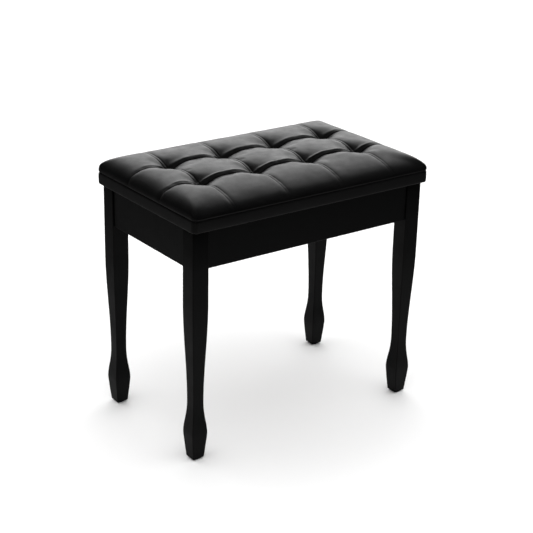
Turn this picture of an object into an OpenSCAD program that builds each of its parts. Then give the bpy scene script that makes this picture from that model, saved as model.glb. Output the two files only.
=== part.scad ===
// Piano bench with a storage box: a tufted seat on a hinged lid, over four
// aprons between four tapered legs. Millimetres; the floor is z = 0, +X is the
// player's right, the hinges are at the back (+Y).

/* [Seat] */
// Width of the seat, side to side
seat_w = 514; // [500:1:560]
// Depth of the seat, front to back
seat_d = 318; // [310:1:330]
// Height of the seat's crown above the floor
seat_h = 490; // [484:1:500]
// Height of the underside of the closed lid
lid_z = 434; // [430:1:440]
// Height of the plain band round the edge of the lid
band_h = 22; // [20:1:24]
// Thickness of the seat board
board_t = 15; // [12:1:16]
// Corner radius of the seat in plan
corner_r = 9; // [8:1:20]
// Thickness of the cover material
leather_t = 1.2; // [0.8:0.1:1.5]
// Distance between tufts along the seat
tuft_pitch_x = 115; // [105:1:125]
// Distance between the two rows of tufts
tuft_pitch_y = 103; // [90:1:110]

/* [Frame] */
// Width over the outer faces of the legs
frame_w = 502; // [490:1:520]
// Depth over the outer faces of the legs
frame_d = 294; // [290:1:300]
// Height of the lower edge of the aprons
apron_z = 362; // [355:1:366]
// Thickness of the aprons
apron_t = 14; // [12:1:16]
// How far the aprons stand back from the faces of the legs
apron_recess = 2.5; // [1:0.5:4]

/* [Legs] */
// Width of the square upper part of a leg
leg_w = 32; // [30:0.5:34]
// Width at the neck, above the foot
neck_w = 21.4; // [18:0.2:24]
// Width where the foot is widest
flare_w = 31.4; // [26:0.2:32]
// Width at the bottom of the foot
foot_w = 22.6; // [19:0.2:24]
// Height at which the taper starts
taper_z = 298; // [280:1:320]
// Height of the neck
neck_z = 115; // [100:1:130]
// Height at which the foot is widest
flare_z = 52; // [44:1:60]

/* [Hinge and stay] */
// Distance of each hinge from the middle of the bench
hinge_x = 150; // [120:1:170]
// Length of a hinge
hinge_len = 50; // [40:1:60]
// Length of the stay arm, and distance of its lid pivot from the hinge pin
arm_len = 110; // [106:1:112]
// How far the lid opens, in degrees
open_angle = 75; // [60:1:76]

/* [Hidden] */
$fn = 48;

black_paint = [0.06, 0.06, 0.065];
black_leather = [0.10, 0.10, 0.11];
raw_wood = [0.80, 0.66, 0.46];
zinc = [0.72, 0.73, 0.74];

// Gaps: running clearance, the cut round a fastener, plain daylight, and how far
// a cutting shape runs past the face that it cuts
run_gap = 0.05;
cut_gap = 0.05;
air = 0.3;
past = 1;

// Frame levels and faces
lid_gap = 3;
frame_top = lid_z - lid_gap;
glide_h = 2.5;
glide_r = 8;
glide_nail_r = 1.2;
glide_nail_len = 12;
leg_x = (frame_w - leg_w) / 2;
leg_y = (frame_d - leg_w) / 2;
apron_h = frame_top - apron_z;
apron_out_x = frame_w / 2 - apron_recess;
apron_out_y = frame_d / 2 - apron_recess;
in_x = apron_out_x - apron_t;
in_y = apron_out_y - apron_t;
edge_bevel = 1.2;

// Corner blocks, measured from the corner of the aprons' inner faces
block_near = 22;
block_far = 50;
block_z = 378;
block_h = 36;
bolt_z = block_z + block_h / 2;
bolt_r = 3;
bolt_tip = -6;
bolt_end = 50;
block_face = block_far / sqrt(2);
washer_t = 1.5;
washer_r = 8;

// The leg's inner corner is cut flat just short of the block
leg_cut = 2 * (leg_w - apron_recess - apron_t) - block_near + 1;

// Wood screws of the frame: shank, head, how far they enter the apron, and the
// wood left under a block screw's sunk head
screw_r = 1.6;
head_r = 3.4;
head_t = 2;
bite = 9;
block_screw_seat = 8;
block_screw_place = 36;
block_screw_edge = 8;
cleat_screw_r = 1.5;
cleat_head_r = 3;
cleat_head_t = 1.6;

// Storage floor
cleat_w = 12;
cleat_h = 10;
cleat_long = frame_w - 2 * leg_w - 2;
cleat_short = frame_d - 2 * leg_w - 2;
cleat_screw_x = [-165, -55, 55, 165];
cleat_screw_y = [-75, 75];
panel_t = 4;
panel_z = apron_z + cleat_h;
nail_r = 0.8;
nail_bite = 7;
nail_head_r = 2;
nail_head_t = 0.8;
nail_x = [-190, -110, 0, 110, 190];
nail_y = [-50, 50];

// Hinges: the pin lies just behind the back apron, halfway up the gap
leaf_t = 1.3;
leaf_w = 16.5;
knuckle_r = 2.5;
pin_r = 1.2;
knuckle_len = hinge_len / 3;
knuckle_play = 0.1;
pin_end = 0.8;
leaf_screw_step = 17;
leaf_screw_r = 1.6;
leaf_screw_len = 12;
axis_y = apron_out_y + knuckle_r + 0.5;
axis_z = lid_z - lid_gap / 2;
leaf_screw_y = axis_y - 10;
groove_h = knuckle_r - lid_gap / 2 + air;

// Lid levels
fold_t = 0.8;
fold_w = 28;
wadding_t = 1.2;
board_inset = leather_t + wadding_t;
board_z = lid_z + fold_t;
foam_z = board_z + board_t;
band_top = lid_z + band_h;
dust_t = 0.4;
dust_inset = 10;
dust_r = 6;
bumper_r = 6;

// Crown of the seat: share of its rise, and how far its outline has drawn in
crown_steps = [[0, 0], [0.5, 7], [0.82, 22], [1, 48]];

// Tufts: the twine of each runs up the foam's hole to a loop under the pit
tuft_count = [4, 2];
tuft_hole_r = 9;
tuft_sink = 31;
tie_r = 0.8;
knot_r = 1.7;
knot_h = 1;
loop_r = 1.8;
tie_hole_r = 1.2;
tie_washer_r = 7;
tie_washer_t = 1.7;
tie_sink = 3;
tie_washer_z = board_z + tie_sink - tie_washer_t;
tie_top = seat_h - tuft_sink;

// Staples through the dust cover and the folded cover into the board
staple_w = 10;
staple_t = 0.8;
staple_h = 0.6;
staple_leg = 7;
staple_x = [-225, -95, -32, 32, 95, 225];
staple_y = [-105, -35, 35, 105];
staple_inset = dust_inset + 5;

// Stay: |hinge to pivot| = |pivot to slider|, and the rail points at the hinge pin,
// so the arm always turns half as fast as the lid opens, the other way
rail_tilt = 9;
pivot_drop = 6;
start_angle = rail_tilt - pivot_drop;
slide_far = 2 * arm_len * cos(start_angle);
slide_near = 2 * arm_len * cos(start_angle + open_angle);
stay_pin_r = 2.5;
strip_t = 2.2;
rail_x = 228.5;
rail_t = 2;
rail_half = 6;
rail_end = 9;
rail_foot_len = 145;
rail_foot_drop = 14;
rail_foot_t = 1.5;
rail_ledge = 1.6;
rail_screw_step = 64;
rail_screw_drop = 10.5;
rail_screw_len = 12;
pan_r = 2.8;
pan_t = 1.4;
arm_x = 225;
arm_half = 5;
pin_head_r = 4;
slide_head_r = 3.6;
bracket_x = 222.5;
bracket_half = 6;
flange_x = 205;
flange_half = 14;
flange_t = 2;
flange_screw_y = 9;
flange_screw_x = 8;
pivot_y = axis_y - arm_len * cos(pivot_drop);
pivot_z = axis_z - arm_len * sin(pivot_drop);

// ---------------------------------------------------------------- helpers

function ease(t) = t * t * (3 - 2 * t);
function mix(a, b, t) = a + (b - a) * t;

// Width of a leg's square section at height z
function leg_width(z) =
  z >= taper_z ? leg_w :
  z >= neck_z ? mix(neck_w, leg_w, ease((z - neck_z) / (taper_z - neck_z))) :
  z >= flare_z ? mix(neck_w, flare_w, ease(pow((neck_z - z) / (neck_z - flare_z), 1.3))) :
  mix(flare_w, foot_w, pow((flare_z - z) / (flare_z - glide_h), 1.2));

leg_levels = concat(
  [for (i = [0:7]) mix(glide_h, flare_z, i / 8)],
  [for (i = [0:9]) mix(flare_z, neck_z, i / 10)],
  [for (i = [0:16]) mix(neck_z, taper_z, i / 16)],
  [frame_top]);

// Runs its children once in each corner of the frame, mirrored into place
module each_corner() {
  for (sx = [0, 1], sy = [0, 1])
    mirror([sx, 0, 0])
      mirror([0, sy, 0])
        children();
}

// A flat rectangular plate with round corners, centred in plan
module plate(w, d, r, h) {
  linear_extrude(h)
    union() {
      square([w - 2 * r, d], center = true);
      square([w, d - 2 * r], center = true);
      for (x = [-1, 1], y = [-1, 1])
        translate([x * (w / 2 - r), y * (d / 2 - r)])
          circle(r);
    }
}

// A cylinder along +X
module rod_x(r, length) {
  rotate([0, 90, 0])
    cylinder(r = r, h = length);
}

// Places its children at the corner of the aprons' inner faces, with the first
// axis pointing inwards along X and the second inwards along Y
module at_inner_corner() {
  translate([in_x, in_y, 0])
    mirror([1, 0, 0])
      mirror([0, 1, 0])
        children();
}

// Places its children on the diagonal of a corner, their +Z pointing inwards
module on_diagonal(along) {
  at_inner_corner()
    translate([along / sqrt(2), along / sqrt(2), bolt_z])
      rotate([0, 0, 45])
        rotate([0, 90, 0])
          children();
}

// ---------------------------------------------------------------- legs

// Outline of a leg seen from the side: spread times as wide, less a cut each side
module leg_outline(spread, cut) {
  half = [for (z = leg_levels) leg_width(z) / 2 * spread - cut];
  last = len(leg_levels) - 1;
  polygon(concat(
    [for (i = [0:last]) [half[i], leg_levels[i]]],
    [for (i = [last:-1:0]) [-half[i], leg_levels[i]]]));
}

// One face pair of the leg: its outline pushed through at the given turn
module leg_slab(turn, spread = 1, cut = 0) {
  rotate([0, 0, turn])
    translate([0, leg_w, 0])
      rotate([90, 0, 0])
        linear_extrude(2 * leg_w)
          leg_outline(spread, cut);
}

// The leg of the corner at +X +Y
module leg() {
  color(black_paint)
    difference() {
      translate([leg_x, leg_y, 0])
        intersection() {
          leg_slab(0);
          leg_slab(90);
          leg_slab(45, sqrt(2), edge_bevel / sqrt(2));
          leg_slab(-45, sqrt(2), edge_bevel / sqrt(2));
        }
      // flat on the inner corner for the corner block
      translate([leg_x - leg_w / 2, leg_y - leg_w / 2, apron_z])
        rotate([0, 0, 45])
          translate([-leg_cut, -leg_w, 0])
            cube([leg_cut + leg_cut / sqrt(2), 2 * leg_w, apron_h + past]);
      bolt(cut_gap);
      translate([leg_x, leg_y, 0])
        glide(cut_gap);
    }
}

module leg_front_left() {
  mirror([1, 0, 0]) mirror([0, 1, 0]) leg();
}

module leg_front_right() {
  mirror([0, 1, 0]) leg();
}

module leg_back_left() {
  mirror([1, 0, 0]) leg();
}

module leg_back_right() {
  leg();
}

// Nail-on glide; grow widens the cut that its nail needs
module glide(grow = 0) {
  cylinder(r = glide_r, h = glide_h);
  cylinder(r = glide_nail_r + grow, h = glide_h + glide_nail_len + grow);
}

module foot_glides() {
  color([0.20, 0.20, 0.21])
    each_corner()
      translate([leg_x, leg_y, 0])
        glide();
}

// ---------------------------------------------------------------- aprons

// Long apron, at the back; it runs between the legs
module long_apron() {
  translate([leg_w - frame_w / 2, in_y, apron_z])
    cube([frame_w - 2 * leg_w, apron_t, apron_h]);
}

// Short apron, at the right
module short_apron() {
  translate([in_x, leg_w - frame_d / 2, apron_z])
    cube([apron_t, frame_d - 2 * leg_w, apron_h]);
}

module apron_front() {
  color(black_paint)
    difference() {
      mirror([0, 1, 0]) long_apron();
      frame_fasteners();
    }
}

module apron_back() {
  color(black_paint)
    difference() {
      long_apron();
      frame_fasteners();
      hinge_frame_screw_set(cut_gap);
    }
}

module apron_left() {
  color(black_paint)
    difference() {
      mirror([1, 0, 0]) short_apron();
      frame_fasteners();
    }
}

module apron_right() {
  color(black_paint)
    difference() {
      short_apron();
      frame_fasteners();
      rail_screw_set(cut_gap);
    }
}

// The holes that block and cleat screws make in the aprons
module frame_fasteners() {
  block_screw_set(cut_gap);
  cleat_screw_set(cut_gap);
}

// ---------------------------------------------------------------- corner joints

module corner_blocks() {
  color(raw_wood)
    difference() {
      each_corner()
        at_inner_corner()
          translate([0, 0, block_z])
            linear_extrude(block_h)
              polygon([[block_near, 0], [block_far, 0], [0, block_far], [0, block_near]]);
      each_corner()
        bolt(air);
      block_screw_set(cut_gap);
    }
}

// Wood screw along +X, its tip at x = 0; its cut leaves a well over the head
module block_screw(grow) {
  shank = bite + block_screw_seat;
  well = grow > 0 ? 10 : 0;
  rod_x(screw_r + grow, shank);
  translate([shank - grow, 0, 0])
    rod_x(head_r + (grow > 0 ? air : 0), head_t + well);
}

// Two screws from each block into each of its two aprons
module block_screw_set(grow = 0) {
  each_corner()
    at_inner_corner()
      for (z = [block_screw_edge, block_h - block_screw_edge], swap = [0, 1])
        translate([0, 0, block_z + z])
          mirror(swap == 1 ? [1, -1, 0] : [0, 0, 0])
            translate([-bite, block_screw_place, 0])
              block_screw(grow);
}

module block_screws() {
  color(zinc) block_screw_set();
}

// Hanger bolt of the corner at +X +Y
module bolt(grow = 0) {
  on_diagonal(bolt_tip - grow)
    cylinder(r = bolt_r + grow, h = bolt_end - bolt_tip + 2 * grow);
}

module hanger_bolts() {
  color(zinc) each_corner() bolt();
}

module bolt_washers() {
  color(zinc)
    each_corner()
      on_diagonal(block_face)
        difference() {
          cylinder(r = washer_r, h = washer_t);
          translate([0, 0, -past])
            cylinder(r = bolt_r + air, h = washer_t + 2 * past);
        }
}

// M6 wing nut: a stepped barrel and two round-eared wings
module wing_nut() {
  barrel_h = 7;
  wing_t = 2;
  difference() {
    union() {
      cylinder(r = 5.5, h = 4);
      cylinder(r = 4.6, h = barrel_h);
      for (side = [0, 180])
        rotate([0, 0, side])
          translate([0, wing_t / 2, 3])
            rotate([90, 0, 90])
              linear_extrude(wing_t)
                union() {
                  polygon([[3, 0], [11, 5], [11, 8], [3, 4]]);
                  translate([11.5, 6.5])
                    circle(3.2);
                }
    }
    translate([0, 0, -past])
      cylinder(r = bolt_r + run_gap, h = barrel_h + 2 * past);
  }
}

module wing_nuts() {
  color(zinc)
    each_corner()
      on_diagonal(block_face + washer_t)
        wing_nut();
}

// ---------------------------------------------------------------- storage floor

module storage_panel() {
  color([0.42, 0.33, 0.24])
    difference() {
      translate([air - in_x, air - in_y, panel_z])
        cube([2 * (in_x - air), 2 * (in_y - air), panel_t]);
      each_corner()
        translate([leg_x - leg_w / 2 - air, leg_y - leg_w / 2 - air, panel_z - past])
          cube([leg_w, leg_w, panel_t + 2 * past]);
      panel_nail_set(cut_gap);
    }
}

module panel_cleats() {
  color(raw_wood)
    difference() {
      union() {
        for (side = [0, 1]) {
          mirror([0, side, 0])
            translate([-cleat_long / 2, in_y - cleat_w, apron_z])
              cube([cleat_long, cleat_w, cleat_h]);
          mirror([side, 0, 0])
            translate([in_x - cleat_w, -cleat_short / 2, apron_z])
              cube([cleat_w, cleat_short, cleat_h]);
        }
      }
      cleat_screw_set(cut_gap);
      panel_nail_set(cut_gap);
    }
}

// Screw through a cleat into an apron: its head at x = 0, its shank towards +X
module cleat_screw(grow) {
  well = grow > 0 ? past : 0;
  translate([-well, 0, 0])
    rod_x(cleat_head_r + grow, cleat_head_t + well);
  rod_x(cleat_screw_r + grow, cleat_w + bite - 1 + grow);
}

module cleat_screw_set(grow = 0) {
  for (side = [0, 1]) {
    mirror([side, 0, 0])
      for (y = cleat_screw_y)
        translate([in_x - cleat_w, y, apron_z + cleat_h / 2])
          cleat_screw(grow);
    mirror([0, side, 0])
      for (x = cleat_screw_x)
        translate([x, in_y - cleat_w, apron_z + cleat_h / 2])
          rotate([0, 0, 90])
            cleat_screw(grow);
  }
}

module cleat_screws() {
  color(zinc) cleat_screw_set();
}

// Flat-headed nail through the panel into a cleat
module panel_nail(grow) {
  translate([0, 0, panel_z - nail_bite - grow])
    cylinder(r = nail_r + grow, h = nail_bite + panel_t + grow);
  translate([0, 0, panel_z + panel_t - nail_head_t - grow])
    cylinder(r = nail_head_r + grow, h = nail_head_t + 2 * grow);
}

module panel_nail_set(grow = 0) {
  for (side = [0, 1]) {
    mirror([0, side, 0])
      for (x = nail_x)
        translate([x, in_y - cleat_w / 2, 0])
          panel_nail(grow);
    mirror([side, 0, 0])
      for (y = nail_y)
        translate([in_x - cleat_w / 2, y, 0])
          panel_nail(grow);
  }
}

module panel_nails() {
  color(zinc) panel_nail_set();
}

module lid_bumpers() {
  color([0.12, 0.12, 0.12])
    each_corner()
      translate([leg_x, leg_y, frame_top])
        cylinder(r = bumper_r, h = lid_gap - dust_t);
}

// ---------------------------------------------------------------- hinges

// Runs its children at the middle of each hinge pin
module each_hinge() {
  for (x = [-hinge_x, hinge_x])
    translate([x, axis_y, axis_z])
      children();
}

// A knuckle of the hinge, from one place to another along the pin
module knuckle(from, to) {
  translate([from, 0, 0])
    rod_x(knuckle_r, to - from);
}

module knuckle_bore() {
  translate([-hinge_len, 0, 0])
    rod_x(pin_r + run_gap, 2 * hinge_len);
}

// Room beside a leaf for the other leaf's knuckle
module knuckle_room(from, to) {
  translate([from, -knuckle_r - air, -2 * knuckle_r])
    cube([to - from, 4 * knuckle_r, 4 * knuckle_r]);
}

module hinge_frame_leaves() {
  color(zinc)
    difference() {
      each_hinge()
        difference() {
          union() {
            difference() {
              translate([-hinge_len / 2, -leaf_w, -lid_gap / 2])
                cube([hinge_len, leaf_w, leaf_t]);
              knuckle_room(-knuckle_len / 2 - knuckle_play, knuckle_len / 2 + knuckle_play);
            }
            knuckle(-hinge_len / 2, -knuckle_len / 2 - knuckle_play);
            knuckle(knuckle_len / 2 + knuckle_play, hinge_len / 2);
          }
          knuckle_bore();
        }
      hinge_frame_screw_set(cut_gap);
    }
}

module hinge_lid_leaves() {
  color(zinc)
    difference() {
      each_hinge()
        difference() {
          union() {
            difference() {
              translate([-hinge_len / 2, -leaf_w, lid_gap / 2 - leaf_t])
                cube([hinge_len, leaf_w, leaf_t]);
              knuckle_room(-hinge_len, knuckle_play - knuckle_len / 2);
              knuckle_room(knuckle_len / 2 - knuckle_play, hinge_len);
            }
            knuckle(knuckle_play - knuckle_len / 2, knuckle_len / 2 - knuckle_play);
          }
          knuckle_bore();
        }
      hinge_lid_screw_set(cut_gap);
    }
}

module hinge_pins() {
  color(zinc)
    each_hinge()
      translate([-hinge_len / 2 - pin_end, 0, 0])
        rod_x(pin_r, hinge_len + 2 * pin_end);
}

// Countersunk screw whose head is flush with z = 0, its tip pointing down
module leaf_screw(grow) {
  translate([0, 0, -leaf_t])
    cylinder(r1 = leaf_screw_r + grow, r2 = leaf_screw_r + 1.5 + grow, h = leaf_t);
  translate([0, 0, -leaf_screw_len - grow])
    cylinder(r = leaf_screw_r + grow, h = leaf_screw_len);
}

module hinge_frame_screw_set(grow = 0) {
  for (x = [-hinge_x, hinge_x], step = [-leaf_screw_step, 0, leaf_screw_step])
    translate([x + step, leaf_screw_y, frame_top + leaf_t])
      leaf_screw(grow);
}

module hinge_lid_screw_set(grow = 0) {
  for (x = [-hinge_x, hinge_x], step = [-leaf_screw_step, 0, leaf_screw_step])
    translate([x + step, leaf_screw_y, lid_z - leaf_t])
      mirror([0, 0, 1])
        leaf_screw(grow);
}

module hinge_frame_screws() {
  color(zinc) hinge_frame_screw_set();
}

module hinge_lid_screws() {
  color(zinc) hinge_lid_screw_set();
}

// Grooves under the lid that the hinge knuckles turn in
module knuckle_grooves() {
  for (x = [-hinge_x, hinge_x])
    translate([x - hinge_len / 2 - 1.5, axis_y - knuckle_r - air, lid_z - past])
      cube([hinge_len + 3, 2 * (knuckle_r + air), groove_h + past]);
}

// ---------------------------------------------------------------- seat

// Runs its children at each tuft
module each_tuft() {
  middle = (tuft_count - [1, 1]) / 2;
  for (i = [0:tuft_count.x - 1], j = [0:tuft_count.y - 1])
    translate([(i - middle.x) * tuft_pitch_x, (j - middle.y) * tuft_pitch_y, 0])
      children();
}

module seat_board() {
  color(raw_wood)
    difference() {
      translate([0, 0, board_z])
        plate(seat_w - 2 * board_inset, seat_d - 2 * board_inset, corner_r - board_inset, board_t);
      each_tuft()
        translate([0, 0, board_z - past]) {
          cylinder(r = tie_hole_r, h = board_t + 2 * past);
          cylinder(r = tie_washer_r + air, h = tie_sink + past);
        }
      knuckle_grooves();
      hinge_lid_screw_set(cut_gap);
      bracket_screw_set(cut_gap);
      staple_set(cut_gap);
    }
}

// Crown of the seat, from the top of the band up, drawn in by inset all over
module crown(inset) {
  rise = seat_h - band_top;
  hull()
    for (step = crown_steps)
      translate([0, 0, band_top + (rise - inset) * step[0]])
        plate(seat_w - 2 * (step[1] + inset), seat_d - 2 * (step[1] + inset),
          corner_r + step[1] / 2 - inset, 0.01, $fn = 32);
}

module foam_pad() {
  gap = leather_t + air;
  color([0.90, 0.86, 0.70])
    difference() {
      union() {
        crown(gap);
        translate([0, 0, foam_z])
          plate(seat_w - 2 * gap, seat_d - 2 * gap, corner_r - gap, band_top - foam_z);
      }
      each_tuft()
        translate([0, 0, foam_z - past])
          cylinder(r = tuft_hole_r, h = seat_h);
    }
}

module cover_top() {
  color(black_leather)
    difference() {
      crown(0);
      translate([0, 0, -0.02])
        crown(leather_t);
    }
}

module cover_band() {
  color(black_leather)
    difference() {
      translate([0, 0, lid_z])
        plate(seat_w, seat_d, corner_r, band_h);
      translate([0, 0, board_z])
        plate(seat_w - 2 * leather_t, seat_d - 2 * leather_t, corner_r - leather_t, band_h);
      translate([0, 0, lid_z - past])
        plate(seat_w - 2 * fold_w, seat_d - 2 * fold_w, 4, fold_t + 2 * past);
      knuckle_grooves();
      hinge_lid_screw_set(cut_gap);
      staple_set(cut_gap);
    }
}

// Twine that pulls a tuft down: a knot under the washer, the standing part, a loop
module tuft_ties() {
  knot_z = tie_washer_z - knot_h;
  color([0.85, 0.82, 0.75])
    each_tuft() {
      translate([0, 0, knot_z])
        cylinder(r = knot_r, h = knot_h);
      translate([0, 0, knot_z])
        cylinder(r = tie_r, h = tie_top - knot_z);
      translate([0, 0, tie_top])
        sphere(r = loop_r);
    }
}

module tie_washers() {
  color(zinc)
    each_tuft()
      translate([0, 0, tie_washer_z])
        difference() {
          cylinder(r = tie_washer_r, h = tie_washer_t);
          translate([0, 0, -past])
            cylinder(r = tie_r + 0.2, h = tie_washer_t + 2 * past);
        }
}

module dust_cover() {
  color([0.13, 0.13, 0.14])
    difference() {
      translate([0, 0, lid_z - dust_t])
        plate(seat_w - 2 * dust_inset, seat_d - 2 * dust_inset, dust_r, dust_t);
      for (x = [-hinge_x, hinge_x])
        translate([x - hinge_len / 2 - 2, axis_y - leaf_w - 2, lid_z - dust_t - past])
          cube([hinge_len + 4, seat_d, dust_t + 2 * past]);
      translate([flange_x - 1, pivot_y - flange_half - 1, lid_z - dust_t - past])
        cube([bracket_x + strip_t - flange_x + 2, 2 * flange_half + 2, dust_t + 2 * past]);
      staple_set(cut_gap);
    }
}

// Staple with its crown under the dust cover and its legs up in the board
module staple(grow) {
  translate([-staple_w / 2 - grow, -staple_t / 2 - grow, -staple_h - grow])
    cube([staple_w + 2 * grow, staple_t + 2 * grow, staple_h + 2 * grow]);
  for (x = [-staple_w / 2, staple_w / 2 - staple_h])
    translate([x - grow, -staple_t / 2 - grow, -staple_h])
      cube([staple_h + 2 * grow, staple_t + 2 * grow, staple_leg]);
}

module staple_set(grow = 0) {
  for (side = [0, 1]) {
    mirror([0, side, 0])
      for (x = staple_x)
        translate([x, seat_d / 2 - staple_inset, lid_z - dust_t])
          staple(grow);
    mirror([side, 0, 0])
      for (y = staple_y)
        translate([seat_w / 2 - staple_inset, y, lid_z - dust_t])
          rotate([0, 0, 90])
            staple(grow);
  }
}

module cover_staples() {
  color(zinc) staple_set();
}

// ---------------------------------------------------------------- lid stay

// Places its children on the rail: -Y runs away from the hinge pin along the slot
module on_rail() {
  translate([0, axis_y, axis_z])
    rotate([rail_tilt, 0, 0])
      children();
}

// Pressed rail: a slotted strip held off the apron by a ledge and a flange
module stay_rail() {
  slot_len = slide_far - slide_near;
  slot_r = stay_pin_r + run_gap;
  slot_play = 0.5;
  color(zinc)
    difference() {
      on_rail()
        difference() {
          union() {
            translate([rail_x, -slide_far - rail_end, -rail_half])
              cube([rail_t, slot_len + 2 * rail_end, 2 * rail_half]);
            translate([rail_x, -slide_far - rail_end, -rail_half])
              cube([in_x - rail_x, rail_foot_len, rail_ledge]);
            translate([in_x - rail_foot_t, -slide_far - rail_end, -rail_foot_drop])
              cube([rail_foot_t, rail_foot_len, rail_foot_drop - rail_half + rail_ledge]);
          }
          translate([rail_x - past, -slide_far - slot_play, 0]) {
            rod_x(slot_r, rail_t + 2 * past);
            translate([0, 0, -slot_r])
              cube([rail_t + 2 * past, slot_len + 2 * slot_play, 2 * slot_r]);
          }
          translate([rail_x - past, -slide_near + slot_play, 0])
            rod_x(slot_r, rail_t + 2 * past);
        }
      rail_screw_set(cut_gap);
    }
}

// Pan-headed screws through the rail's flange into the apron
module rail_screw_set(grow = 0) {
  on_rail()
    for (i = [0:2])
      translate([in_x - rail_foot_t, i * rail_screw_step - slide_far, -rail_screw_drop]) {
        translate([-pan_t, 0, 0])
          rod_x(pan_r, pan_t);
        translate([-cut_gap, 0, 0])
          rod_x(screw_r + grow, rail_screw_len + grow);
      }
}

module stay_rail_screws() {
  color(zinc) rail_screw_set();
}

// Places its children at the lid pivot, -Y pointing along the closed arm
module on_arm() {
  translate([0, pivot_y, pivot_z])
    rotate([rail_tilt + start_angle, 0, 0])
      children();
}

module stay_arm() {
  color(zinc)
    on_arm()
      difference() {
        union() {
          translate([arm_x, -arm_len, -arm_half])
            cube([strip_t, arm_len, 2 * arm_half]);
          for (y = [0, -arm_len])
            translate([arm_x, y, 0])
              rod_x(arm_half, strip_t);
        }
        for (y = [0, -arm_len])
          translate([arm_x - past, y, 0])
            rod_x(stay_pin_r + run_gap, strip_t + 2 * past);
      }
}

// Pin that runs in the rail's slot, with a collar and a head behind the rail
module stay_slide_pin() {
  head_x = rail_x + rail_t + 0.4;
  slide_head_t = 1.2;
  collar_t = 0.9;
  color(zinc)
    on_arm()
      translate([0, -arm_len, 0]) {
        translate([arm_x, 0, 0])
          rod_x(stay_pin_r, head_x + slide_head_t - arm_x);
        translate([arm_x + strip_t, 0, 0])
          rod_x(slide_head_r, collar_t);
        translate([head_x, 0, 0])
          rod_x(slide_head_r, slide_head_t);
      }
}

module stay_bracket() {
  color(zinc)
    difference() {
      union() {
        translate([bracket_x, pivot_y - bracket_half, pivot_z])
          cube([strip_t, 2 * bracket_half, board_z - pivot_z]);
        translate([bracket_x, pivot_y, pivot_z])
          rod_x(bracket_half, strip_t);
        translate([flange_x, pivot_y - flange_half, board_z - flange_t])
          cube([bracket_x + strip_t - flange_x, 2 * flange_half, flange_t]);
      }
      translate([bracket_x - past, pivot_y, pivot_z])
        rod_x(stay_pin_r + run_gap, strip_t + 2 * past);
      bracket_screw_set(cut_gap);
    }
}

// Rivet through bracket and arm, with a head at each end
module stay_pivot_pin() {
  near_head = 1.3;
  far_head = 0.8;
  far_x = arm_x + strip_t + 0.1;
  color(zinc)
    translate([0, pivot_y, pivot_z]) {
      translate([bracket_x - near_head, 0, 0])
        rod_x(pin_head_r, near_head);
      translate([bracket_x - near_head, 0, 0])
        rod_x(stay_pin_r, far_x - bracket_x + near_head);
      translate([far_x, 0, 0])
        rod_x(pin_head_r, far_head);
    }
}

// Pan-headed screws through the bracket's flange into the seat board
module bracket_screw_set(grow = 0) {
  for (side = [-1, 1])
    translate([flange_x + flange_screw_x, pivot_y + side * flange_screw_y, board_z - flange_t]) {
      translate([0, 0, -pan_t])
        cylinder(r = pan_r, h = pan_t);
      translate([0, 0, -cut_gap])
        cylinder(r = screw_r + grow, h = rail_screw_len + grow);
    }
}

module stay_bracket_screws() {
  color(zinc) bracket_screw_set();
}

// ---------------------------------------------------------------- assembly

leg_front_left();
leg_front_right();
leg_back_left();
leg_back_right();
foot_glides();
apron_front();
apron_back();
apron_left();
apron_right();
corner_blocks();
block_screws();
hanger_bolts();
bolt_washers();
wing_nuts();
storage_panel();
panel_cleats();
cleat_screws();
panel_nails();
lid_bumpers();
hinge_frame_leaves();
hinge_lid_leaves();
hinge_pins();
hinge_frame_screws();
hinge_lid_screws();
seat_board();
foam_pad();
cover_top();
cover_band();
tuft_ties();
tie_washers();
dust_cover();
cover_staples();
stay_rail();
stay_rail_screws();
stay_arm();
stay_slide_pin();
stay_bracket();
stay_pivot_pin();
stay_bracket_screws();
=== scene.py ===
"""Piano bench: the looks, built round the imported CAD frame. Metres, +Z up, floor at z = 0."""

import math

import bmesh
import bpy
import numpy as np
from mathutils import Matrix, Vector, noise


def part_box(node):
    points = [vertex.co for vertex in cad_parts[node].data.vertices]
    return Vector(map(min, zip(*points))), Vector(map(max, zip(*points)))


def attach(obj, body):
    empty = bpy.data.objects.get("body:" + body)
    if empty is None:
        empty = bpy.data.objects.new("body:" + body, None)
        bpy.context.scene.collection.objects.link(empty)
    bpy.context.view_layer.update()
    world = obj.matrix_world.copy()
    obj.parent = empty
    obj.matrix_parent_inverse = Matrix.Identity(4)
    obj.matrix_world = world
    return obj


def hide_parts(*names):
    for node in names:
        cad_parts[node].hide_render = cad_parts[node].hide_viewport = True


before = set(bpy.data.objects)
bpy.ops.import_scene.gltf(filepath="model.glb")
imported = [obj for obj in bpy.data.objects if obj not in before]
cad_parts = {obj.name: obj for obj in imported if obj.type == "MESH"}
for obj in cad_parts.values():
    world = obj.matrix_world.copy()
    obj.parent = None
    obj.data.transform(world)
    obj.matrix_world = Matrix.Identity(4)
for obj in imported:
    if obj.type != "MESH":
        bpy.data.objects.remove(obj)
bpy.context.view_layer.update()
MM = 0.001

# ------------------------------------------------------------------ sizes read from the frame

top_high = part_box("cover_top")[1]
band_low, band_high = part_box("cover_band")
board_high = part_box("seat_board")[1]
dust_low, dust_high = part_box("dust_cover")
leg_low, leg_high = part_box("leg_back_right")
hinge_low, hinge_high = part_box("hinge_lid_leaves")

HALF_X = top_high.x
HALF_Y = top_high.y
SEAM_Z = band_high.z
CREST_Z = top_high.z
LID_Z = band_low.z
CORNER_R = 9 * MM

# Tufts: four along the seat in two rows
PITCH_X = 115 * MM
PITCH_Y = 103 * MM
TUFT_XS = [(i - 1.5) * PITCH_X for i in range(4)]
TUFT_YS = [-PITCH_Y / 2, PITCH_Y / 2]


# ------------------------------------------------------------------ small helpers

def ease(t):
    return t * t * (3 - 2 * t)


def mix(a, b, t):
    return a + (b - a) * t


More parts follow.
